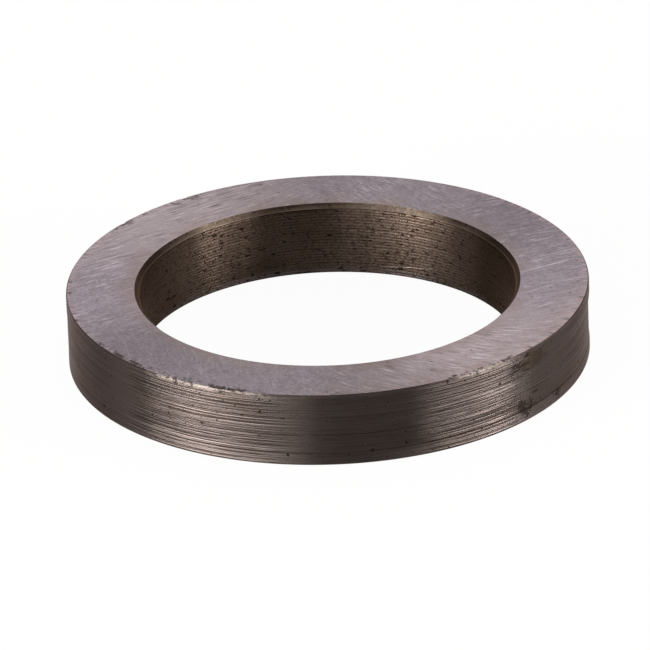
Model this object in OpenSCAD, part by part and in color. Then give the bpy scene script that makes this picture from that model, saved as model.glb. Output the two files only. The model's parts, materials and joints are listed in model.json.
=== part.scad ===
/* [Ring] */
// Outside diameter over the upper rim
ring_d = 50.8; // [44:0.1:60]
// Thickness from face to face
ring_t = 7.4; // [6:0.1:20]
// Width of the small flat that breaks each outer corner
corner_break = 0.2; // [0.05:0.01:0.3]

/* [Bore] */
// Diameter of the bore
bore_d = 36.6; // [28:0.1:40]
// Width of the chamfer at the upper mouth of the bore
mouth_chamfer = 0.45; // [0.1:0.05:1]
// Width of the small flat that breaks the lower edge of the bore
tail_break = 0.15; // [0.05:0.01:0.3]

/* [Foot band] */
// Height of the band that the second turning left standing at the foot
band_h = 1.2; // [0.5:0.05:2]
// Mean depth of the band below the rim
band_depth = 0.06; // [0.03:0.005:0.08]
// Sideways error of the ring in the chuck when the band was turned
band_runout = 0.025; // [0:0.005:0.025]

/* [Skimmed wall] */
// Mean depth that the second turning took off the wall
skim_depth = 0.105; // [0.1:0.005:0.15]
// Sideways error of the ring in the chuck for the second turning
skim_runout = 0.05; // [0:0.005:0.05]
// Height of the upper rim that kept the full diameter
rim_h = 1.1; // [0.6:0.05:1.5]
// Height over which the skimmed wall flares out to the rim
flare_h = 1.3; // [0.5:0.05:1.6]
// Height of the score half-way up the wall
mid_score_h = 3.15; // [2.6:0.05:3.4]
// Depth of the two scores that the tool left in the wall
score_depth = 0.06; // [0.04:0.01:0.2]
// Width of the two scores at the wall
score_w = 0.16; // [0.08:0.01:0.4]

/* [Hidden] */
$fn = 180;
ring_r = ring_d / 2;
bore_r = bore_d / 2;
band_r = ring_r - band_depth;
wall_r = ring_r - skim_depth;
score_r = wall_r - score_depth;
foot_score_h = band_h + score_w / 2;
flare_end = ring_t - rim_h;
flare_start = max(flare_end - flare_h, mid_score_h + score_w);
overcut = 1;
flare_rise = (flare_end - flare_start) / skim_depth;
steel_colour = [0.56, 0.53, 0.55];

// Three points of a vee-shaped score that is centred at a height on the wall
function score_points(height) = [
    [wall_r, height - score_w / 2],
    [score_r, height],
    [wall_r, height + score_w / 2]
];

// Plain disc with its upper corner broken, as parted from the bar
module blank() {
    rotate_extrude()
        polygon([
            [0, 0],
            [ring_r, 0],
            [ring_r, ring_t - corner_break],
            [ring_r - corner_break, ring_t],
            [0, ring_t]
        ]);
}

// What the first turning takes off the foot: a little of the wall and the corner
module band_cut() {
    translate([-band_runout, 0, 0])
        rotate_extrude()
            polygon([
                [band_r - corner_break - overcut, -overcut],
                [band_r, corner_break],
                [band_r, band_h],
                [ring_r + overcut, band_h],
                [ring_r + overcut, -overcut]
            ]);
}

// What the second turning takes off: the wall above the band, a score where the
// tool started, one half-way up, and a flare where the tool ran out to the rim.
// The ring sat off centre in the chuck, so the cut is deeper on one side
module skim_cut() {
    translate([-skim_runout, 0, 0])
        rotate_extrude()
            polygon(concat(
                [[ring_r + overcut, band_h]],
                score_points(foot_score_h),
                score_points(mid_score_h),
                [
                    [wall_r, flare_start],
                    [ring_r + overcut, flare_start + (skim_depth + overcut) * flare_rise]
                ]
            ));
}

// What the boring bar takes out: the bore, its wide mouth and the lower edge
module bore_cut() {
    rotate_extrude()
        polygon([
            [0, -overcut],
            [bore_r + tail_break + overcut, -overcut],
            [bore_r, tail_break],
            [bore_r, ring_t - mouth_chamfer],
            [bore_r + mouth_chamfer + overcut, ring_t + overcut],
            [0, ring_t + overcut]
        ]);
}

// The spacer itself, turned from one piece of steel bar
module spacer_ring() {
    color(steel_colour)
        difference() {
            blank();
            band_cut();
            skim_cut();
            bore_cut();
        }
}

spacer_ring();
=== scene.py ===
# %% [markdown]
# # A turned spacer ring
# The part is a flat steel ring that slips over a shaft and holds a sprocket at its distance. It was parted
# from bar, bored, turned a second time on its outside and rubbed flat on its faces. Nothing on it moves, so
# the lesson is about one closed mesh and about bare metal: three machined finishes, their edges and wear.
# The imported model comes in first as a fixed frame, so that the new mesh is drawn at its true size and place.

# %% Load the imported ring
import json
import math
import random

import bmesh
import bpy
from mathutils import Matrix, Vector
from mathutils import noise as grit


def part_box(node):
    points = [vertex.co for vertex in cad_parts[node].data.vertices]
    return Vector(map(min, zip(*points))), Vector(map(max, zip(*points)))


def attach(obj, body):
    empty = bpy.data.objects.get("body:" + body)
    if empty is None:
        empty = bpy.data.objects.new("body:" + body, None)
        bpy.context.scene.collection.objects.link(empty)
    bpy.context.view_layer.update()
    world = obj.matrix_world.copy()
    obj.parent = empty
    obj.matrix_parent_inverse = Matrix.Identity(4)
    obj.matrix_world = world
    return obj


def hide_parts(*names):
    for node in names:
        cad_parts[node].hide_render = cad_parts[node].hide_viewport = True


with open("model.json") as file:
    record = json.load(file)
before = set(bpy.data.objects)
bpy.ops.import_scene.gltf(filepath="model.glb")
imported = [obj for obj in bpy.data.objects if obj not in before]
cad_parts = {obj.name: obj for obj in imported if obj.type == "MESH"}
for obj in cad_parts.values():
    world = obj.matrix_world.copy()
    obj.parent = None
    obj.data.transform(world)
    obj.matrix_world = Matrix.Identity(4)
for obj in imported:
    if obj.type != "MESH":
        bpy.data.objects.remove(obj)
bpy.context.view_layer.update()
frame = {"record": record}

MM = 0.001
NODE = "spacer_ring"
low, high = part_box(NODE)
bore_mount = next(mount for mount in frame["record"]["mounts"] if mount["name"] == "bore")
HAIR = 0.0002 * MM
ring_r = (high[0] - low[0]) / 2 - HAIR
ring_t = high[2]
bore_r = bore_mount["dims"]["r_mm"] * MM
print(f"ring {2 * ring_r / MM:.2f} mm over {ring_t / MM:.2f} mm, bore {2 * bore_r / MM:.2f} mm")

# %% [markdown]
# ## Camera
# The ring was photographed with a long lens from about a metre away, so its ellipses are nearly those of a
# parallel view. A camera could be placed by eye, but the ring's outlines fix it better: its height above the
# floor, a small roll to one side, and how many pixels the radius takes. The picture is square. The ring sits
# a few pixels off its centre, and sliding the camera sideways gives that without any lens shift.

# %% Place the camera
PICTURE_PIXELS = 650
RADIUS_PIXELS = 261.3
CENTRE_RIGHT_PIXELS = 3.54
CENTRE_UP_PIXELS = 7.76
CAMERA_DISTANCE = 40 * ring_r
CAMERA_ELEVATION = math.radians(25.13)
CAMERA_ROLL = math.radians(-2.02)

forward = Vector((0, math.cos(CAMERA_ELEVATION), -math.sin(CAMERA_ELEVATION)))
level_up = Vector((0, math.sin(CAMERA_ELEVATION), math.cos(CAMERA_ELEVATION)))
right = math.cos(CAMERA_ROLL) * Vector((1, 0, 0)) + math.sin(CAMERA_ROLL) * level_up
up = right.cross(forward)
pixel = ring_r / RADIUS_PIXELS
aim = Vector((0, 0, ring_t / 2)) - right * CENTRE_RIGHT_PIXELS * pixel - up * CENTRE_UP_PIXELS * pixel

lens = bpy.data.cameras.new("photo_camera")
lens.sensor_width = 36
lens.lens = lens.sensor_width * RADIUS_PIXELS * (CAMERA_DISTANCE / ring_r) / PICTURE_PIXELS
lens.clip_start = 0.01
camera = bpy.data.objects.new("photo_camera", lens)
bpy.context.scene.collection.objects.link(camera)
camera.matrix_world = Matrix.Translation(aim - forward * CAMERA_DISTANCE) @ Matrix(
    (right, up, -forward)).transposed().to_4x4()
bpy.context.scene.camera = camera
bpy.context.scene.view_settings.view_transform = "Standard"
print(f"camera {CAMERA_DISTANCE:.3f} m away with a {lens.lens:.0f} mm lens")

# %% [markdown]
# ## Section of the ring
# A lathe makes a shape by turning one section round an axis, and Blender's Spin does the same. So the ring
# starts as a flat plane: the section that a saw would show, standing on the right of the axis. Its corners
# are bevelled first, while there are only four of them. The mouth of the bore gets a plain chamfer. The
# other corners are only broken by a file, so they get small round bevels.

# %% Draw the section and break its corners
CORNER_BREAK = 0.2 * MM
MOUTH_CHAMFER = 0.45 * MM
TAIL_BREAK = 0.15 * MM
TINY = 0.001 * MM
ROUND_STEPS = 4


def pick(test, kind="VERT"):
    """Selects, in edit mode, the vertices or edges whose end points all pass the test, and counts them."""
    bpy.ops.mesh.select_mode(type=kind)
    bpy.ops.mesh.select_all(action="DESELECT")
    cage = bmesh.from_edit_mesh(bpy.context.object.data)
    parts = cage.verts if kind == "VERT" else cage.edges
    chosen = 0
    for part in parts:
        ends = (part.co,) if kind == "VERT" else tuple(vert.co for vert in part.verts)
        if test(*ends):
            part.select_set(True)
            chosen += 1
    cage.select_flush_mode()
    bmesh.update_edit_mesh(bpy.context.object.data)
    return chosen


def break_corner(radius, height, width, steps):
    """Bevels the section's corner at a radius and height."""
    corner = Vector((radius, 0, height))
    pick(lambda place: (place - corner).length < TINY)
    bpy.ops.mesh.bevel(offset=width, offset_type="OFFSET", affect="VERTICES", segments=steps)


bpy.ops.object.select_all(action="DESELECT")
bpy.ops.mesh.primitive_plane_add(size=1, location=((bore_r + ring_r) / 2, 0, ring_t / 2),
                                 rotation=(math.pi / 2, 0, 0))
ring = bpy.context.object
ring.name = "turned_ring"
ring.scale = (ring_r - bore_r, ring_t, 1)
bpy.ops.object.transform_apply(location=True, rotation=True, scale=True)
bpy.ops.object.mode_set(mode="EDIT")
break_corner(bore_r, ring_t, MOUTH_CHAMFER, 1)
break_corner(bore_r, 0, TAIL_BREAK, ROUND_STEPS)
break_corner(ring_r, 0, CORNER_BREAK, ROUND_STEPS)
break_corner(ring_r, ring_t, CORNER_BREAK, ROUND_STEPS)
print("section corners:", [tuple(round(c / MM, 3) for c in vert.co.xz) for vert in
                           bmesh.from_edit_mesh(ring.data).verts])

# %% [markdown]
# ## Rows along the section
# Tool marks need rows of vertices to be cut into. Subdivide adds them along one edge at a time: many on the
# wall and in the bore, where the tool left its lines, and few on the faces. The bore is divided in two goes,
# first into one length for each turn of the tool, then each turn into small steps.

# %% Divide the wall, the bore and the faces
FEED_PITCH = 0.31 * MM
FEED_STEPS = 6
WALL_CUTS = 11
FACE_CUTS = 22
LOWER_FACE_CUTS = 9
CHAMFER_CUTS = 5
RIM_ROW_CUTS = 5


def divide(test, *cuts):
    """Subdivides the edges that pass the test, once for each number of cuts."""
    pick(test, "EDGE")
    for number in cuts:
        bpy.ops.mesh.subdivide(number_cuts=number)


def near(value, wanted):
    return abs(value - wanted) < TINY


feed_turns = round((ring_t - MOUTH_CHAMFER - TAIL_BREAK) / FEED_PITCH)
divide(lambda a, b: near(a.x, bore_r) and near(b.x, bore_r), feed_turns - 1, FEED_STEPS - 1)
divide(lambda a, b: near(a.x, ring_r) and near(b.x, ring_r), WALL_CUTS, WALL_CUTS)
divide(lambda a, b: near(a.z, ring_t) and near(b.z, ring_t), FACE_CUTS)
divide(lambda a, b: near(a.z, 0) and near(b.z, 0), LOWER_FACE_CUTS)
divide(lambda a, b: near(a.z - b.z, a.x - b.x) and near(abs(a.z - b.z), MOUTH_CHAMFER), CHAMFER_CUTS)
rim_row = (ring_r - CORNER_BREAK - bore_r - MOUTH_CHAMFER) / (FACE_CUTS + 1)
rim_inside = ring_r - CORNER_BREAK - rim_row
divide(lambda a, b: near(a.z, ring_t) and near(b.z, ring_t) and min(a.x, b.x) > rim_inside - TINY, RIM_ROW_CUTS)
print("rows in the section:", len(bmesh.from_edit_mesh(ring.data).verts))

# %% [markdown]
# ## Tool marks
# The wall was turned twice. A narrow band of the first turning still stands at the foot, and the second cut
# runs out in a flare under the rim, which kept its full diameter. The tool was chipped, so it left uneven
# lines and a few scores. The boring bar left even ridges, one for each turn. Noise in a material could draw
# the lines, but then they would be missing from the mesh, so each row is moved by the depth that the tool
# had there. A seeded generator gives the same marks on every run.

# %% Cut the tool marks into the rows
BAND_H = 1.2 * MM
BAND_DEPTH = 0.045 * MM
SKIM_DEPTH = 0.085 * MM
RIM_H = 1.1 * MM
FLARE_H = 1.3 * MM
MID_SCORE_H = 3.15 * MM
FOOT_SCORE_DEPTH = 0.022 * MM
MID_SCORE_DEPTH = 0.03 * MM
SCORE_W = 0.13 * MM
FEED_DEPTH = 0.029 * MM
FEED_UNEVEN = 0.35
TOOTH_RAKE = math.tan(math.radians(13))
TOOTH_ROWS = (2, 5)
TOOTH_SPREAD = (0.86, 1.14)
minor_scores = {
    2.05 * MM: 0.02 * MM,
    3.75 * MM: 0.025 * MM,
    5.0 * MM: 0.02 * MM,
    5.75 * MM: 0.02 * MM,
}
foot_score_h = BAND_H + SCORE_W / 2
scores = {foot_score_h: FOOT_SCORE_DEPTH, MID_SCORE_H: MID_SCORE_DEPTH, **minor_scores}
chipped_tool = random.Random(5)
tooth_edges = []


def ease(share):
    """Goes smoothly from 0 to 1."""
    share = max(0, min(1, share))
    return share * share * (3 - 2 * share)


def skim_share(height):
    """How much of the second cut there is at a height: all of it on the wall, none on the rim."""
    return 1 - ease((height - ring_t + RIM_H + FLARE_H) / FLARE_H)


def turned_depth(height):
    """Depth of the two turnings at a height."""
    return BAND_DEPTH if height < BAND_H else SKIM_DEPTH * skim_share(height)


def score_cut(height, score_h, depth):
    """Depth of a vee score at a height."""
    return max(0, depth * (1 - 2 * abs(height - score_h) / SCORE_W))


def wall_cuts(heights):
    """How far the tool went in at each height. Its lines are uneven teeth that lean inwards as they rise."""
    row = heights[1] - heights[0]
    rows_left = 0
    cuts = []
    for height in heights:
        if rows_left == 0:
            rows_left = chipped_tool.randint(*TOOTH_ROWS)
            lean = TOOTH_RAKE * row * chipped_tool.uniform(*TOOTH_SPREAD)
            tooth = 0
            tooth_edges.extend((height - row, height))
        score = sum(score_cut(height, place, depth) for place, depth in scores.items())
        cuts.append(turned_depth(height) + tooth + score)
        tooth += lean
        rows_left -= 1
    return cuts


def feed_cut(height):
    """How far the boring bar went into the bore at a height: a round hollow for each turn."""
    turn = (height - TAIL_BREAK) / FEED_PITCH
    uneven = 1 + FEED_UNEVEN * math.sin(math.floor(turn) ** 2)
    return FEED_DEPTH * uneven * math.sin(math.pi * (turn % 1))


def rows_at(radius):
    """Heights of the section's rows at a radius."""
    cage = bmesh.from_edit_mesh(ring.data)
    return sorted({round(vert.co.z, 8) for vert in cage.verts if near(vert.co.x, radius)})


wall_rows = rows_at(ring_r)
for height, cut in zip(wall_rows, wall_cuts(wall_rows)):
    pick(lambda place: near(place.x, ring_r) and near(place.z, height))
    bpy.ops.transform.translate(value=(-cut, 0, 0))
pick(lambda place: place.z < CORNER_BREAK - TINY and place.x > ring_r - CORNER_BREAK - TINY)
bpy.ops.transform.translate(value=(-BAND_DEPTH, 0, 0))
bore_rows = rows_at(bore_r)
for height in bore_rows[1:-1]:
    pick(lambda place: near(place.x, bore_r) and near(place.z, height))
    bpy.ops.transform.translate(value=(feed_cut(height), 0, 0))
print(f"{len(wall_rows)} rows cut on the wall, {len(bore_rows)} in the bore, {feed_turns} turns")

# %% [markdown]
# ## Spin
# Only the outline has to go round, so the section's face is deleted first. Spin then sweeps the outline
# once round Z. Its last copy lands on the first, so doubles are merged, with a distance well under one row,
# and the normals are recalculated outwards.

# %% Spin the section into a ring
SPIN_STEPS = 240


def reach(place):
    """Distance of a place from the ring's axis."""
    return math.hypot(place.x, place.y)


bpy.ops.mesh.select_all(action="SELECT")
bpy.ops.mesh.delete(type="ONLY_FACE")
bpy.ops.mesh.select_mode(type="EDGE")
bpy.ops.mesh.select_all(action="SELECT")
bpy.ops.mesh.spin(steps=SPIN_STEPS, angle=2 * math.pi, center=(0, 0, 0), axis=(0, 0, 1))
bpy.ops.mesh.select_all(action="SELECT")
bpy.ops.mesh.remove_doubles(threshold=TINY)
bpy.ops.mesh.normals_make_consistent(inside=False)
print("vertices after the spin:", len(bmesh.from_edit_mesh(ring.data).verts))

# %% [markdown]
# ## Finer rows where the wear is
# The upper outer edge carries a ragged burr and nicks, and the wall has two dents. They are smaller than the
# spin's steps, so the mesh is divided again there, only along the ring. New vertices lie on straight chords,
# and a small push outwards puts them back on the circle. The ring also sat a little off centre in the chuck
# each time. So the rows of each turning move sideways, and the cut is deeper on one side.

# %% Refine the rim and the dented patch
WEAR_CUTS = 3
RIM_DROP = 0.42 * MM
RIM_WIDTH = 0.78 * MM
DENT_SIDE = (40, 66)
DENT_HEIGHT = (0.35 * MM, 2.8 * MM)
BAND_RUNOUT = 0.025 * MM
SKIM_RUNOUT = 0.05 * MM
half_step = math.pi / SPIN_STEPS


def facing(place):
    """Azimuth of a place in degrees: 0 faces the camera and 90 is the right."""
    return math.degrees(math.atan2(place.x, -place.y))


def in_rim(place):
    """True close to the upper outer edge."""
    return place.z > ring_t - RIM_DROP and reach(place) > ring_r - RIM_WIDTH


def in_patch(place):
    """True on the dented part of the wall."""
    inside = DENT_HEIGHT[0] < place.z < DENT_HEIGHT[1] and DENT_SIDE[0] < facing(place) < DENT_SIDE[1]
    return inside and reach(place) > ring_r - RIM_WIDTH


def along_ring(a, b):
    """True for an edge that runs round the ring and not along the section."""
    return near(a.z, b.z) and near(reach(a), reach(b))


def refine(zone):
    """Divides a zone's edges along the ring, and puts the new vertices on the circle."""
    pick(lambda a, b: zone(a) and zone(b) and along_ring(a, b), "EDGE")
    bpy.ops.mesh.subdivide(number_cuts=WEAR_CUTS)
    cage = bmesh.from_edit_mesh(ring.data)
    for vert in cage.verts:
        if zone(vert.co):
            off_middle = math.atan2(vert.co.y, vert.co.x) % (2 * half_step) - half_step
            vert.co.xy *= math.cos(off_middle) / math.cos(half_step)
    bmesh.update_edit_mesh(ring.data)


def on_tooth_edge(a, b):
    """True for an edge that runs round the wall where one tooth of the tool marks ends."""
    return along_ring(a, b) and reach(a) > ring_r - RIM_WIDTH and round(a.z / TINY) in sharp_steps


sharp_steps = {round(height / TINY) + slip for height in tooth_edges for slip in (-1, 0, 1)}
refine(in_rim)
refine(in_patch)
pick(on_tooth_edge, "EDGE")
bpy.ops.mesh.mark_sharp()
cage = bmesh.from_edit_mesh(ring.data)
for vert in cage.verts:
    if reach(vert.co) > ring_r - CORNER_BREAK - BAND_DEPTH - TINY and vert.co.z < ring_t - CORNER_BREAK:
        vert.co.x -= BAND_RUNOUT if vert.co.z < BAND_H else SKIM_RUNOUT * skim_share(vert.co.z)
bmesh.update_edit_mesh(ring.data)
print("vertices after refining:", len(bmesh.from_edit_mesh(ring.data).verts))

# %% [markdown]
# ## Wear
# The file that broke the upper edge left a burr, and handling has torn it. So the face is lowered just
# inside the edge, in ragged spots that follow smooth noise, along the stretches that show it. Nicks cut the
# edge itself, and the dents push the wall in. Wear only takes metal away, so the ring never grows.

# %% Wear the rim and dent the wall
BURR_DEPTH = 0.12 * MM
BURR_GRAIN = 0.34 * MM
BURR_PATCH = 1.7 * MM
BURR_MIDDLE = 0.4 * MM
BURR_HALF_WIDTH = 0.36 * MM
BURR_BIAS = 0.08
BURR_FINE = 0.8
burr_spans = (
    (-42, -17, 1.2), (-62, -42, 0.95), (24, 46, 0.9), (-100, -62, 0.35), (-17, 24, 0.25), (-152, -142, 0.9),
    (-135, -122, 0.9),
)
nicks = (
    (-147, 0.8, 0.05), (-128.5, 0.9, 0.05), (-75, 0.4, 0.05), (-52, 0.4, 0.03), (-36, 0.5, 0.06), (-32, 0.7, 0.07),
    (-24, 0.6, 0.07), (-16, 0.4, 0.025), (4, 0.3, 0.02), (12, 0.5, 0.02), (33, 0.5, 0.06), (38, 0.4, 0.06),
)
dents = ((47.5, 1.55, 2.0, 1.5, 0.035), (59, 1.0, 1.0, 0.8, 0.035))


def window(value, start, end, soft):
    """1 between start and end, 0 outside, with soft ends."""
    return max(0, min(1, (value - start) / soft + 0.5, (end - value) / soft + 0.5))


def burr_at(place):
    """How deep the torn burr has left the face at a place."""
    strength = sum(window(facing(place), start, end, 8) * level for start, end, level in burr_spans)
    ragged = max(0, BURR_FINE * grit.noise(place / BURR_GRAIN) + grit.noise(place / BURR_PATCH) + BURR_BIAS)
    inside = abs(ring_r - reach(place) - BURR_MIDDLE) / BURR_HALF_WIDTH
    return BURR_DEPTH * strength * ragged * max(0, 1 - inside * inside)


def nick_at(place):
    """How deep the nicks cut the edge at a place."""
    deepest = 0
    for side, length, depth in nicks:
        along = abs(facing(place) - side) * math.radians(1) * ring_r / (length * MM / 2)
        deepest = max(deepest, depth * MM * max(0, 1 - along * along))
    return deepest


def dent_at(place):
    """How far the dents push the wall in at a place."""
    deepest = 0
    for side, height, length, tall, depth in dents:
        along = (facing(place) - side) * math.radians(1) * ring_r / (length * MM / 2)
        above = (place.z - height * MM) / (tall * MM / 2)
        ragged = max(0, 0.6 + 1.2 * grit.noise(place / BURR_GRAIN))
        deepest = max(deepest, depth * MM * ragged * max(0, 1 - along * along - above * above))
    return deepest


cage = bmesh.from_edit_mesh(ring.data)
worn = 0
for vert in cage.verts:
    place = vert.co.copy()
    if in_rim(place):
        nick = nick_at(place) * max(0, 1 - (ring_r - reach(place)) / RIM_WIDTH)
        vert.co.z -= burr_at(place) + nick
        vert.co.xy *= 1 - nick / ring_r
        worn += 1
    elif in_patch(place):
        vert.co.xy *= 1 - dent_at(place) / ring_r
        worn += 1
bmesh.update_edit_mesh(ring.data)
print("vertices that wear could reach:", worn)
bpy.ops.object.mode_set(mode="OBJECT")

# %% [markdown]
# ## Studio
# A pale floor takes the shadow. Soft lamps stand where the long highlights on the wall say they were: one on
# the left in front, one on the right, and a wide one behind, which the upper face mirrors. Metal shows what
# stands round it, so the camera's side is left dark, or the wall would have no contrast. The floor glows a
# little, but only for rays that the camera or a reflection sends, so it is white and keeps a soft shadow.

# %% Floor and lamps
FLOOR_SIZE = 6
FLOOR_GAP = 0.02 * MM
WORLD_TONE = (0.34, 0.285, 0.25, 1)
bpy.ops.object.select_all(action="DESELECT")
bpy.ops.mesh.primitive_plane_add(size=FLOOR_SIZE, location=(0, 0, -FLOOR_GAP))
floor = bpy.context.object
floor.name = "floor"


def softbox(name, azimuth, elevation, distance, width, height, radiance, colour):
    """An area lamp that looks at the ring. Azimuth 0 is the camera's side, and 90 is the right."""
    lamp = bpy.data.lights.new(name, "AREA")
    lamp.shape = "RECTANGLE"
    lamp.size = width
    lamp.size_y = height
    lamp.energy = radiance * math.pi * width * height
    lamp.color = colour
    holder = bpy.data.objects.new(name, lamp)
    bpy.context.scene.collection.objects.link(holder)
    turn = math.radians(azimuth)
    lift = math.radians(elevation)
    away = Vector((math.sin(turn) * math.cos(lift), -math.cos(turn) * math.cos(lift), math.sin(lift)))
    holder.location = away * distance
    holder.rotation_euler = away.to_track_quat("Z", "Y").to_euler()
    return holder


softbox("left_softbox", -55, 8.5, 1.0, 0.94, 0.28, 20.5, (1, 0.98, 0.96))
softbox("left_core", -54, 8.5, 0.98, 0.4, 0.26, 26.0, (1, 0.98, 0.96))
softbox("left_far", -97, 14, 1.02, 0.34, 0.46, 1.8, (1, 0.98, 0.96))
softbox("left_wing", -22, 8.5, 1.02, 0.4, 0.28, 8.2, (1, 0.98, 0.96))
softbox("right_softbox", 63, 8.5, 1.0, 0.62, 0.28, 17.5, (1, 0.98, 0.96))
softbox("right_core", 74, 8.5, 0.98, 0.28, 0.26, 19.0, (1, 0.98, 0.96))
softbox("right_fill", 104, 20, 1.0, 0.6, 0.5, 2.3, (1, 0.98, 0.96))
softbox("top_softbox", 0, 72, 1.0, 0.7, 0.5, 1.4, (1, 0.98, 0.96))
softbox("back_softbox", 180, 32, 1.2, 1.9, 1.1, 1.06, (0.98, 0.97, 1))
world = bpy.data.worlds.new("studio")
bpy.context.scene.world = world
world.use_nodes = True
world.node_tree.nodes["Background"].inputs["Color"].default_value = WORLD_TONE
print("nine lamps")

# %% [markdown]
# ## Writing materials as sums
# Node trees are hard to read when every node is made by hand. The class below wraps one socket, so that a
# plain Python expression adds the Math nodes it needs. Everything else goes through its one method, node.

# %% A socket that understands arithmetic


class Wire:
    """An output socket in a node tree."""

    def __init__(self, tree, socket=None):
        self.tree = tree
        self.socket = socket

    def node(self, kind, settings=None, inputs=None, output=0):
        """Adds a node: its settings first, then the values or wires of its sockets."""
        made = self.tree.nodes.new("ShaderNode" + kind)
        for name, value in (settings or {}).items():
            setattr(made, name, value)
        for name, value in (inputs or {}).items():
            if isinstance(value, Wire):
                self.tree.links.new(value.socket, made.inputs[name])
            else:
                made.inputs[name].default_value = value
        return Wire(self.tree, made.outputs[output])

    def other(self, output):
        """Another output of the same node."""
        return Wire(self.tree, self.socket.node.outputs[output])

    def math(self, operation, *values, clamp=False):
        return self.node("Math", {"operation": operation, "use_clamp": clamp}, dict(enumerate(values)))

    def __add__(self, other):
        return self.math("ADD", self, other)

    def __sub__(self, other):
        return self.math("SUBTRACT", self, other)

    def __rsub__(self, other):
        return self.math("SUBTRACT", other, self)

    def __mul__(self, other):
        return self.math("MULTIPLY", self, other)

    def __truediv__(self, other):
        return self.math("DIVIDE", self, other)

    def __pow__(self, other):
        return self.math("POWER", self, other)

    __radd__ = __add__
    __rmul__ = __mul__

    def step(self, start, end):
        """Goes smoothly from 0 at start to 1 at end. With end below start it falls as the value grows."""
        rise = self.node("MapRange", {"interpolation_type": "SMOOTHSTEP"},
                         {"Value": self, "From Min": min(start, end), "From Max": max(start, end)})
        return rise if start < end else 1 - rise

    def blend(self, first, second):
        """A colour between two, by this value."""
        return self.node("Mix", {"data_type": "RGBA"}, {0: self, 6: first, 7: second}, 2)

    def colour_times(self, colour):
        """A colour made darker or lighter by this value."""
        return self.node("VectorMath", {"operation": "SCALE"}, {0: colour, "Scale": self})


print("socket class ready")

# %% [markdown]
# ## Shared shop marks
# All three finishes need the same few things: a place in millimetres, noise that is pulled out into lines,
# and small pits. Object coordinates are in metres and fixed to the ring, so the marks stay where they are
# when the ring is seen from another side. Noise that is squeezed along Z and stretched along X and Y gives
# lines that run round the ring with no seam. A pit is the middle of a Voronoi cell, kept in a few cells.

# %% Helpers for bare metal
ACROSS_THE_LINES = 0.25
PIT_RAGGED = 0.5


def bare_metal(name, anisotropy, edge_tone):
    """A metal material with its shader, and the place on the ring in millimetres."""
    material = bpy.data.materials.new(name)
    material.use_nodes = True
    shader = material.node_tree.nodes["Principled BSDF"]
    shader.inputs["Metallic"].default_value = 1
    shader.inputs["Anisotropic"].default_value = anisotropy
    shader.inputs["Anisotropic Rotation"].default_value = ACROSS_THE_LINES
    shader.inputs["Specular Tint"].default_value = edge_tone
    start = Wire(material.node_tree)
    metres = start.node("TexCoord", output="Object")
    place = start.node("VectorMath", {"operation": "SCALE"}, {0: metres, "Scale": 1 / MM})
    return material, shader, place


def connect(shader, colour, roughness, height, depth):
    """Feeds a shader its colour, its roughness and a bump of a depth."""
    tree = shader.id_data
    bump = height.node("Bump", {}, {"Strength": 1, "Distance": depth, "Height": height})
    for wire, name in ((colour, "Base Color"), (roughness, "Roughness"), (bump, "Normal")):
        tree.links.new(wire.socket, shader.inputs[name])


def noise(place, pull, detail=3, roughness=0.5):
    """Noise on a place that is first multiplied along each axis."""
    pulled = place.node("VectorMath", {"operation": "MULTIPLY"}, {0: place, 1: pull})
    return place.node("TexNoise", {}, {"Vector": pulled, "Scale": 1, "Detail": detail, "Roughness": roughness})


def pits(flat, per_mm, share, radius):
    """Round spots on a flat place: 1 inside, 0 outside. The share is how many of the cells have one."""
    shake = noise(flat, (4, 4, 4), 3).other("Color")
    shake = flat.node("VectorMath", {"operation": "SCALE"}, {0: shake, "Scale": PIT_RAGGED})
    shaken = flat.node("VectorMath", {"operation": "ADD"}, {0: flat, 1: shake})
    cells = flat.node("TexVoronoi", {"voronoi_dimensions": "2D"}, {"Vector": shaken, "Scale": per_mm})
    draw = flat.node("SeparateColor", {}, {0: cells.other("Color")})
    size = draw.other("Green") * 0.7 + 0.5
    return (cells / size).step(radius * per_mm, radius * per_mm / 2) * draw.step(1 - share - 0.02, 1 - share + 0.02)


def parts_of(place):
    """X, Y, Z and the distance from the axis, in millimetres."""
    x = place.node("SeparateXYZ", {}, {0: place})
    y = x.other("Y")
    z = x.other("Z")
    return x, y, z, (x * x + y * y) ** 0.5


def rolled_flat(place, front):
    """A round wall rolled flat: millimetres round it from the front or the back, its height, and both as one."""
    x, y, z, radius = parts_of(place)
    round_mm = x.math("ARCTAN2", x, y * front) * radius
    return round_mm, z, place.node("CombineXYZ", {}, {"X": round_mm, "Y": z})


def spot(across, along, centre, half, ragged):
    """A soft spot on a flat place, with a ragged edge."""
    a = (across - centre[0]) / half[0]
    b = (along - centre[1]) / half[1]
    return (a * a + b * b + (ragged - 0.5) * 6).step(1.2, 0.6)


def scratch(across, along, start, end, width):
    """One straight scratch between two points of a flat place: 1 in its middle, 0 outside."""
    run = Vector(end) - Vector(start)
    heading = run.normalized()
    ahead = (across - start[0]) * heading.x + (along - start[1]) * heading.y
    aside = (along - start[1]) * heading.x - (across - start[0]) * heading.y
    ends = ahead.step(-0.5, 1.5) * ahead.step(run.length + 0.5, run.length - 1.5)
    return aside.math("ABSOLUTE", aside).step(width, 0) * ends


print("helpers ready")
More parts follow.
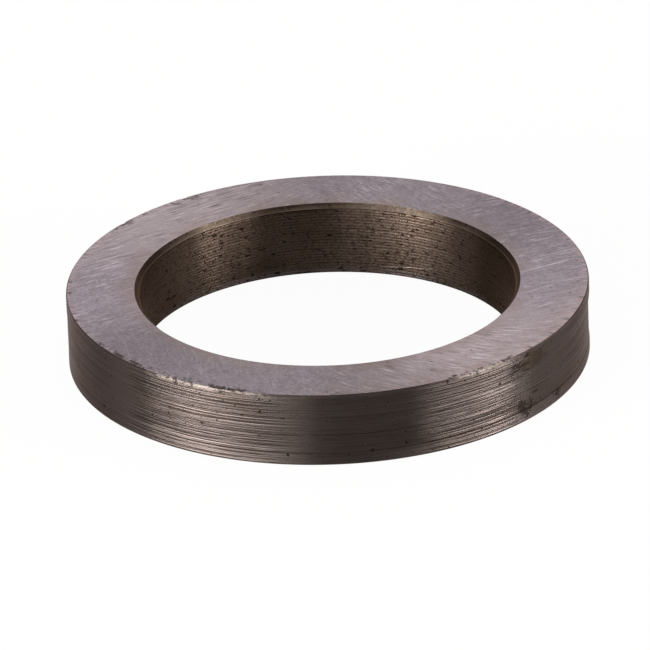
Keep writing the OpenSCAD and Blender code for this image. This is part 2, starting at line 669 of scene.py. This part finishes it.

# %% [markdown]
# ## Ground faces
# The faces were rubbed flat on an abrasive disc. That leaves a satin grey with fine scratches that run in
# slightly bent families, each in its own part of the ring, a few long single scratches, and a warm tint by
# the bore. Straight families are noise across a direction. Bent ones are noise across the distance from a
# centre beside the ring. A little anisotropy round the axis and a painted highlight tone give the two
# brighter sectors, and painted shade darkens the sectors between them. Painted shade also darkens the
# hollows that the torn burr left inside the outer edge.

# %% Finish of the faces
FACE_GREY = (0.327, 0.3, 0.332, 1)
FACE_LIGHT = (0.48, 0.44, 0.466, 1)
FACE_DARK = (0.155, 0.135, 0.148, 1)
# Lighter tone and direction of the painted highlight in two opposite sectors of the face.
FACE_SHEEN = (0.437, 0.383, 0.385, 1)
SHEEN_X = math.cos(math.radians(-48))
SHEEN_Y = math.sin(math.radians(-48))
# Direction of the burr's side where painted shade is laid.
TORN_X = math.sin(math.radians(-38))
TORN_Y = -math.cos(math.radians(-38))
FACE_WARM = (0.24, 0.188, 0.165, 1)
RIM_WARM = (0.27, 0.208, 0.188, 1)
FACE_SCRATCH = (0.66, 0.6, 0.61, 1)
FACE_SPOT = (0.06, 0.045, 0.042, 1)
RIM_PINK = (0.42, 0.31, 0.3, 1)
# Dark rim tone: real dirt in the rim's ticks, and painted shade in the burr's hollows.
RIM_DIRT_AND_SHADE = (0.035, 0.026, 0.026, 1)
DRIFT_PER_MM = 0.45
LINE_BEND = 0.7
# Painted shade: sectors of the face made darker, between the sectors of painted highlight, as direction in degrees and
# share.
shaded_sectors = ((46, 0.21), (229, 0.24), (135, 0.05))
torn_marks = (((-12.9, 21.0), (0.75, 0.4)), ((-19.3, 15.8), (0.5, 0.75)), ((-14.3, 19.6), (0.5, 0.2)))
bore_mm = bore_r / MM
ring_mm = ring_r / MM
top_mm = ring_t / MM
long_scratches = (
    ((18.9, 0.9), (24.2, 3.6), 0.1, 1.0),
    ((20.2, 3.6), (22.6, 4.7), 0.07, 0.5),
    ((19.6, -0.9), (23.4, 1.0), 0.06, 0.4),
    ((-13.9, 18.0), (-10.2, 20.4), 0.1, 0.8),
    ((-12.6, 17.3), (-9.4, 19.0), 0.1, 0.6),
    ((-15.5, 15.8), (-13.2, 17.0), 0.08, 0.5),
    ((-18.9, 11.7), (-17.2, 12.5), 0.12, 1.0),
    ((-18.6, 10.2), (-16.9, 11.4), 0.08, 0.5),
    ((-22.9, 0.6), (-19.9, 2.6), 0.08, 0.4),
    ((-22.5, -3.6), (-19.5, -0.2), 0.08, 0.4),
    ((17.5, 13.0), (20.6, 14.4), 0.07, 0.5),
    ((5.0, -22.3), (8.5, -24.0), 0.08, 0.4),
    ((-22.8, -4.0), (-19.5, -1.4), 0.07, 0.4),
)


def grain(place, across, per_mm):
    """Fine lines that lie where the given distance is constant."""
    x, y, z, radius = parts_of(place)
    bent = across + noise(place, (0.1, 0.1, 0.1), 2) * LINE_BEND
    sheet = place.node("CombineXYZ", {}, {"X": bent * per_mm, "Y": x * DRIFT_PER_MM, "Z": y * DRIFT_PER_MM})
    return place.node("TexNoise", {}, {"Vector": sheet, "Scale": 1, "Detail": 2, "Roughness": 0.6})


def across_line(x, y, degrees):
    """Distance across a straight direction on the face."""
    turn = math.radians(degrees)
    return y * math.cos(turn) - x * math.sin(turn)


def across_arc(x, y, centre_x, centre_y):
    """Distance from a centre, so that lines become arcs round it."""
    return ((x - centre_x) * (x - centre_x) + (y - centre_y) * (y - centre_y)) ** 0.5


def face_finish():
    material, shader, place = bare_metal("ground_face", 0.75, (0.95, 0.9, 0.95, 1))
    x, y, z, radius = parts_of(place)
    marks = grain(place, across_arc(x, y, 19, -2), 4)
    for degrees, per_mm, inside in (
        (-54, 5, (y - x * 0.4).step(2, 9) * x.step(-4, 4)),
        (32, 4.5, x.step(2, -8)),
        (97, 6, y.step(-9, -16) * x.step(1, -6)),
        (21, 4.5, x.step(11, 16) * y.step(-13, -7)),
    ):
        family = grain(place, across_line(x, y, degrees), per_mm)
        marks = marks + (family - marks) * inside
    cloud = noise(place, (0.14, 0.14, 0.14), 4, 0.6)
    speckle = noise(place, (3.2, 3.2, 3.2), 4, 0.7).step(0.36, 0.64)
    mottle = noise(place, (0.9, 0.9, 0.9), 4, 0.7).step(0.36, 0.64)
    heading = (x * SHEEN_X + y * SHEEN_Y) / radius
    # Painted highlight: the two opposite sectors where the lamps' sheen falls get a lighter tone and livelier lines.
    sheen_sector = (heading * heading).step(0.5, 1.0)
    patchy = noise(place, (0.3, 0.3, 0.3), 3, 0.6).step(0.35, 0.65)
    shown = (0.25 + patchy * 0.75) * (1 - y.step(-9, -16) * x.step(1, -6) * 0.5)
    light_lines = marks.step(0.54, 0.66) * shown
    dark_lines = marks.step(0.46, 0.34) * shown
    single = marks * 0
    for start, end, width, level in long_scratches:
        single = single + scratch(x, y, start, end, width) * level
    colour = (cloud * 0.3 + speckle * 0.45 + mottle * 0.2).blend(FACE_GREY, FACE_DARK)
    colour = (sheen_sector * 0.46).blend(colour, FACE_SHEEN)
    colour = (light_lines * (0.6 + sheen_sector * 0.4)).blend(colour, FACE_LIGHT)
    colour = (dark_lines * (0.5 + sheen_sector * 0.45)).blend(colour, FACE_DARK)
    edge_stretch = radius.step(ring_mm - 4, ring_mm - 0.5) * heading.step(0.55, 0.95)
    colour = (edge_stretch * mottle * 0.6).blend(colour, RIM_WARM)
    # Painted shade in these sectors.
    for degrees, level in shaded_sectors:
        sector = (x * math.cos(math.radians(degrees)) + y * math.sin(math.radians(degrees))) / radius
        colour = (1 - sector.step(0.8, 0.99) * level).colour_times(colour)
    mouth = radius.step(bore_mm + 3.2, bore_mm + 0.4) * cloud.step(0.35, 0.6)
    colour = (mouth * 0.55).blend(colour, FACE_WARM)
    way = place.node("VectorMath", {"operation": "MULTIPLY"}, {0: place, 1: (1, 1, 0)})
    way = place.node("VectorMath", {"operation": "NORMALIZE"}, {0: way})
    radial = noise(way, (75, 75, 1), 2)
    rim = radius.step(ring_mm - 0.9, ring_mm - 0.3) * x.math("ABSOLUTE", x).step(9, 19)
    colour = (rim * radial.step(0.46, 0.58) * 0.55).blend(colour, RIM_PINK)
    colour = (rim * radial.step(0.4, 0.32) * 0.6).blend(colour, RIM_DIRT_AND_SHADE)
    # Painted shade: dark nibs on the inner side of the torn burr, in the stretch where its edge catches the light.
    torn_side = (x * TORN_X + y * TORN_Y) / radius
    burr_shade = noise(place, (2.6, 2.6, 2.6), 3, 0.75).step(0.54, 0.6) * torn_side.step(0.89, 0.96)
    burr_shade = burr_shade * radius.step(ring_mm - 1.3, ring_mm - 0.5)
    colour = (burr_shade * 0.75).blend(colour, RIM_DIRT_AND_SHADE)
    gouge = scratch(x, y, (-19.0, 12.1), (-17.3, 12.9), 0.16)
    colour = (gouge * 0.8).blend(colour, FACE_SPOT)
    colour = (single.math("MINIMUM", single, 1.0) * 0.6).blend(colour, FACE_SCRATCH)
    # Painted shade: the spots that the burr and nicks lowered below the face are darkened.
    torn = z.step(top_mm - 0.008, top_mm - 0.05) * z.step(top_mm - 1, top_mm - 0.5)
    ragged = noise(place, (2.8, 2.8, 2.8), 4, 0.75)
    spots = pits(place, 0.5, 0.2, 0.14) + pits(place, 1.1, 0.08, 0.08)
    for centre, half in torn_marks:
        spots = spots + spot(x, y, centre, half, ragged) * 0.8
    spots = spots.math("MINIMUM", spots, 1.0)
    colour = (spots * 0.7).blend(colour, FACE_SPOT)
    colour = (torn * 0.85).blend(colour, RIM_DIRT_AND_SHADE)
    roughness = 0.5 - light_lines * 0.08 + cloud * 0.06
    relief = light_lines * 0.4 - dark_lines * 0.4 + speckle * 0.25 - single * 0.3 - spots - gouge
    connect(shader, colour, roughness, relief, 0.015 * MM)
    return material


face_material = face_finish()
print("face nodes:", len(face_material.node_tree.nodes))

# %% [markdown]
# ## Turned wall
# The wall is darker and browner than the faces, with oil and old oxide in its lines. The mesh carries the
# rows that the tool cut. The material adds what is finer: thin lines that come and go along the wall, dirt
# in the two scores, stains, pits, and brighter metal along the upper edge, which is partly wear and partly a
# painted highlight where the rounded edge reflects the lamps. Painted shade darkens the stretches where no
# lamp is reflected, and painted highlights add light tool lines and a light line along a step.

# %% Finish of the wall
WALL_DARK = (0.058, 0.046, 0.041, 1)
WALL_LIGHT = (0.104, 0.0857, 0.0805, 1)
WALL_STAIN = (0.04, 0.028, 0.019, 1)
WALL_GROOVE = (0.014, 0.01, 0.0085, 1)
WALL_DIRT = (0.01, 0.007, 0.006, 1)
# Light tone of painted highlights: light tool lines and a light line along a step.
WALL_GLINT = (0.13, 0.11, 0.103, 1)
WALL_BAND = (0.12, 0.1, 0.097, 1)
# Height and slope of the painted highlight line along a step.
LEDGE_MM = 4.18
LEDGE_SLOPE = 0.04
# Light edge tone: bare metal of real wear and of a nick, and a painted highlight on the upper edge.
EDGE_BRIGHT = (0.26, 0.225, 0.205, 1)
FRONT = -1
# Stretches of the wall where no lamp is reflected; painted shade is laid there.
shaded_stretches = ((-36, -22), (-4.5, 9), (20.5, 38))
LINE_DRIFT = 0.09
LINE_STRIDE = 7.31


def tool_lines(place, per_mm, first_line):
    """Thin lines that the tool left. Each has its own height and width, and the stretches where it shows."""
    x, y, z, radius = parts_of(place)
    count = z * per_mm + first_line
    number = count.math("FLOOR", count)
    draw = count.node("TexWhiteNoise", {"noise_dimensions": "1D"}, {"W": number}, "Color")
    draw = count.node("SeparateColor", {}, {0: draw})
    sheet = count.node("CombineXYZ", {}, {"X": x * LINE_DRIFT, "Y": y * LINE_DRIFT, "Z": number * LINE_STRIDE})
    shows = count.node("TexNoise", {}, {"Vector": sheet, "Scale": 1, "Detail": 3, "Roughness": 0.6})
    aside = count - number - 0.3 - draw * 0.4
    width = draw.other("Green") * 0.12 + 0.13
    return (aside.math("ABSOLUTE", aside) / width).step(1, 0.2) * shows.step(0.37, 0.55)


def wall_finish():
    material, shader, place = bare_metal("turned_wall", 0.93, (0.85, 0.74, 0.72, 1))
    round_mm, z, flat = rolled_flat(place, FRONT)
    wide = tool_lines(place, 2.7, 11)
    thin = tool_lines(place, 4.3, 57)
    hair = tool_lines(place, 6.1, 131)
    stain = noise(place, (0.12, 0.12, 0.3), 4, 0.6)
    fade = noise(place, (0.2, 0.2, 0.7), 3)
    fine = noise(place, (1.2, 1.2, 5), 3, 0.65)
    lines = wide + thin * 0.9 + hair * 0.7
    # Painted shade: these stretches get a darker colour and weaker lines, as the lines only show where the lamps are
    # reflected.
    shade_stretch = 0
    for begin, stop in shaded_stretches:
        shade_stretch = shade_stretch + round_mm.step(begin - 2, begin + 2) * round_mm.step(stop + 2, stop - 2)
    lines = lines.math("MINIMUM", lines, 1.0) * (1 - shade_stretch * 0.88)
    brushed = noise(place, (0.35, 0.35, 5.5), 3, 0.65)
    colour = (1 - shade_stretch * 0.34).colour_times(brushed.blend(WALL_DARK, WALL_LIGHT))
    foot = z - foot_score_h / MM
    band = foot.step(0.03, -0.05) * round_mm.step(3, 9) * round_mm.step(36, 28)
    colour = (band * 0.45).blend(colour, WALL_BAND)
    # Painted highlight: light tool lines where the lamps are reflected and towards both far ends.
    far_ends = round_mm.step(26, 31) * 0.9 + round_mm.step(-26, -31) * 0.6
    gleam = tool_lines(place, 3.3, 211) * (1 - shade_stretch * 0.9 + far_ends)
    gleam = gleam.math("MINIMUM", gleam, 1.0)
    colour = (gleam * 0.45).blend(colour, WALL_GLINT)
    colour = (lines * 0.95).blend(colour, WALL_GROOVE)
    old_oil = spot(round_mm, z, (22.3, 6.2), (1.8, 0.9), fine) + spot(round_mm, z, (-31, 2.2), (3, 1.4), fine) * 0.5
    colour = (stain.step(0.48, 0.7) * 0.45 + old_oil * 0.8).blend(colour, WALL_STAIN)
    streaks = noise(place, (0.4, 0.4, 3.4), 3, 0.7)
    rough = noise(place, (0.9, 0.9, 0.9), 4, 0.75)
    torn = noise(place, (0.7, 0.7, 4.5), 2, 0.6)
    dashes = spot(round_mm, z, (20.2, 5.8), (1.6, 0.9), rough) * torn.step(0.49, 0.55)
    dashes = dashes + spot(round_mm, z, (21.2, 7.0), (0.4, 0.25), fine) + spot(round_mm, z, (22.4, 2.64), (0.5, 0.1), fine)
    mid = z - MID_SCORE_H / MM
    foot_dirt = foot.math("ABSOLUTE", foot).step(0.08, 0.03) * fade.step(0.4, 0.5) * round_mm.step(31, 26) * round_mm.step(2, 9)
    mid_dirt = mid.math("ABSOLUTE", mid).step(0.07, 0.03) * stain.step(0.46, 0.56)
    smudge = spot(round_mm, z, (20.9, 1.6), (1.15, 1.0), rough) - spot(round_mm, z, (21.2, 1.9), (0.4, 0.4), fine) * 0.5
    smudge = smudge + spot(round_mm, z, (26.2, 0.95), (0.62, 0.55), rough)
    spots = pits(flat, 0.5, 0.4, 0.17) + pits(flat, 1.1, 0.25, 0.1)
    dirt = foot_dirt * 0.85 + mid_dirt * 0.6 + spots + smudge * 0.8 + dashes * 0.9
    dirt = dirt.math("MINIMUM", dirt, 1.0)
    colour = (dirt * 0.85).blend(colour, WALL_DIRT)
    # Painted highlight: a light line along a step on the right of the wall.
    ledge_glint = z + round_mm * LEDGE_SLOPE - LEDGE_MM
    ledge_glint = ledge_glint.math("ABSOLUTE", ledge_glint).step(0.1, 0.03) * round_mm.step(20, 24) * round_mm.step(36, 31)
    colour = (ledge_glint * fade.step(0.4, 0.55) * 0.4).blend(colour, WALL_GLINT)
    # The bright upper edge is a little real wear all round, and a painted highlight in the two stretches where the
    # rounded edge reflects the lamps.
    edge_stretch = round_mm.step(-20, -17) * round_mm.step(-5, -9) + round_mm.step(11, 14) * round_mm.step(19.5, 18)
    ragged = z + (streaks - 0.5) * 1.0
    broken = noise(place, (1.5, 1.5, 1.5), 3, 0.7).step(0.36, 0.56)
    worn = ragged.step(top_mm - 0.34, top_mm - 0.16) * (edge_stretch * broken * 0.8 + stain.step(0.4, 0.6) * 0.12)
    colour = worn.blend(colour, EDGE_BRIGHT)
    roughness = 0.35 + brushed * 0.08 + dirt * 0.2 + worn * 0.2
    connect(shader, colour, roughness, 0 - lines - dirt * 0.4, 0.03 * MM)
    return material


wall_material = wall_finish()
print("wall nodes:", len(wall_material.node_tree.nodes))

# %% [markdown]
# ## Bore
# The bore keeps the even ridges of the boring bar and has never been cleaned: it is brown with old oil, with
# many small pits that the tool tore out. Painted shade darkens its two ends and a stretch on the left, and a
# painted reflection of the floor lays a grey tone near its lower edge. Its chamfer was cut with another
# tool, so it is smoother and lighter, and painted highlights brighten two stretches of it and its lower edge.

# %% Finish of the bore
BORE_DARK = (0.028, 0.019, 0.0135, 1)
BORE_LIGHT = (0.069, 0.0505, 0.0405, 1)
BORE_DIRT = (0.007, 0.0045, 0.0035, 1)
# Grey tone of a painted reflection of the floor.
BORE_FLOOR_REFLECTION = (0.06, 0.05, 0.05, 1)
CHAMFER_TONE = (0.074, 0.056, 0.044, 1)
CHAMFER_DARK = (0.024, 0.018, 0.014, 1)
# Light tone of painted highlights on the chamfer.
CHAMFER_GLINT = (0.158, 0.121, 0.096, 1)
PIT_STRETCH = 0.5
lit_stretches = ((-13.6, -6.8), (3.5, 12))
BACK = 1


def bore_finish():
    material, shader, place = bare_metal("bored_wall", 0.93, (0.85, 0.72, 0.65, 1))
    round_mm, z, flat = rolled_flat(place, BACK)
    fine = noise(place, (0.12, 0.12, 5), 2, 0.6)
    cloud = noise(place, (0.16, 0.16, 0.35), 4, 0.6)
    upright = noise(place, (2.6, 2.6, 0.5), 3, 0.6)
    turn = ((z - TAIL_BREAK / MM) / (FEED_PITCH / MM)).math("PINGPONG", (z - TAIL_BREAK / MM) / (FEED_PITCH / MM), 0.5) * 2
    sand = noise(place, (3.4, 3.4, 4.6), 3, 0.7)
    lines = turn.step(0.1, 0.9) * 0.25 + fine * 0.3 + upright * 0.1 + sand.step(0.35, 0.65) * 0.35
    colour = lines.step(0.2, 0.8).blend(BORE_DARK, BORE_LIGHT)
    # Painted shade: the bore is darkened at both ends and in a stretch on the left, where no lamp is reflected.
    ends = round_mm.math("ABSOLUTE", round_mm).step(14, 19)
    left_end = round_mm.step(0, -10) * round_mm.step(-42, -30)
    bore_shade = round_mm.step(-12, -9) * round_mm.step(2, -2) * 0.5 + ends * (0.85 - left_end * 0.45)
    colour = (cloud.step(0.5, 0.7) * 0.4 + bore_shade).blend(colour, BORE_DARK)
    # Painted reflection: a grey tone near the lower edge stands for the floor that the bore reflects.
    colour = (z.step(0.9, 0.3) * cloud.step(0.35, 0.55) * 0.6).blend(colour, BORE_FLOOR_REFLECTION)
    edge = (ring_t - MOUTH_CHAMFER) / MM
    chamfer = z.step(edge - 0.02, edge + 0.03)
    strip = (z + cloud * 0.2).step(edge + 0.3, edge + 0.36)
    mottle = strip * 0.5 + upright.step(0.45, 0.65) * 0.5
    # Painted highlight: two stretches of the chamfer where it reflects the lamps.
    lit = 0
    for begin, stop in lit_stretches:
        lit = lit + round_mm.step(begin - 3, begin + 2) * round_mm.step(stop + 3, stop - 2)
    lit = lit * (upright * 0.5 + sand.step(0.36, 0.58) * 0.55 + 0.15)
    aside = round_mm.math("ABSOLUTE", round_mm)
    # The dark chamfer tone is real mottling, and painted shade at both ends of the chamfer.
    cut = mottle.math("MAXIMUM", mottle, aside.step(15, 21)).blend(CHAMFER_TONE, CHAMFER_DARK)
    colour = chamfer.blend(colour, lit.blend(cut, CHAMFER_GLINT))
    # Painted highlight: a thin light line along the chamfer's lower edge.
    lip_glint = z - edge - 0.03
    lip_glint = lip_glint.math("ABSOLUTE", lip_glint).step(0.07, 0.02) * cloud.step(0.35, 0.5)
    colour = (lip_glint * 0.5).blend(colour, CHAMFER_GLINT)
    groove = z - edge + 0.06
    torn = place.node("CombineXYZ", {}, {"X": round_mm * PIT_STRETCH, "Y": z})
    spots = pits(torn, 0.9, 0.8, 0.16) * cloud.step(0.36, 0.5) + pits(torn, 1.8, 0.6, 0.1) + pits(torn, 2.9, 0.5, 0.07)
    nick = scratch(round_mm, z, (5.6, 0.83), (11.5, 1.46), 0.07)
    dirt = spots + groove.math("ABSOLUTE", groove).step(0.09, 0.03) * cloud.step(0.3, 0.5)
    dirt = dirt.math("MINIMUM", dirt, 1.0) * (1 - chamfer * 0.8)
    colour = (dirt * 0.85).blend(colour, BORE_DIRT)
    colour = (nick * 0.6).blend(colour, EDGE_BRIGHT)
    roughness = 0.3 + upright * 0.08 + dirt * 0.2 + ends * 0.2
    connect(shader, colour, roughness, fine * 0.5 + upright * 0.25 - dirt * 0.6 - nick * 0.3, 0.05 * MM)
    return material


bore_material = bore_finish()
print("bore nodes:", len(bore_material.node_tree.nodes))

# %% [markdown]
# ## Floor
# The floor is a pale matt sheet. Its glow is mixed in only for camera, glossy and transmission rays.

# %% Finish of the floor
FLOOR_FILL = 0.96


def floor_finish():
    material = bpy.data.materials.new("pale_floor")
    material.use_nodes = True
    tree = material.node_tree
    tree.nodes.remove(tree.nodes["Principled BSDF"])
    start = Wire(tree)
    camera_ray = start.node("LightPath", output="Is Camera Ray")
    seen = camera_ray + camera_ray.other("Is Glossy Ray") + camera_ray.other("Is Transmission Ray")
    seen = seen.math("MINIMUM", seen, 1.0)
    lit = start.node("BsdfDiffuse", {}, {"Color": (0.8, 0.8, 0.8, 1)})
    glow = start.node("Emission", {}, {"Color": (1, 1, 1, 1), "Strength": 1})
    mixed = start.node("MixShader", {}, {0: seen * FLOOR_FILL, 1: lit, 2: glow})
    tree.links.new(mixed.socket, tree.nodes["Material Output"].inputs["Surface"])
    return material


floor.data.materials.append(floor_finish())
print("floor done")

# %% [markdown]
# ## Giving each surface its finish
# The face's normal tells the flat faces from the round walls, and the distance from the axis tells the wall
# from the bore. Edges sharper than an angle stay sharp when the rest is shaded smooth.

# %% Assign the finishes
FLAT_NORMAL = 0.93
SMOOTH_ANGLE = math.radians(40)
FACE_SLOT, WALL_SLOT, BORE_SLOT = range(3)
for material in (face_material, wall_material, bore_material):
    ring.data.materials.append(material)
middle_r = (ring_r + bore_r) / 2
for face in ring.data.polygons:
    level = face.center.z < TINY or face.center.z > ring_t - RIM_DROP
    between = bore_r + MOUTH_CHAMFER < reach(face.center) < ring_r - CORNER_BREAK
    flat = level and (between or abs(face.normal.z) > FLAT_NORMAL)
    side = WALL_SLOT if reach(face.center) > middle_r else BORE_SLOT
    face.material_index = FACE_SLOT if flat else side
bpy.ops.object.select_all(action="DESELECT")
bpy.context.view_layer.objects.active = ring
ring.select_set(True)
bpy.ops.object.shade_smooth_by_angle(angle=SMOOTH_ANGLE)
triangles = sum(len(face.vertices) - 2 for face in ring.data.polygons)
print("triangles:", triangles)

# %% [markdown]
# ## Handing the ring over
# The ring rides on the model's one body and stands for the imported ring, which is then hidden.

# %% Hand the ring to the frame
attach(ring, "root")
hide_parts(NODE)
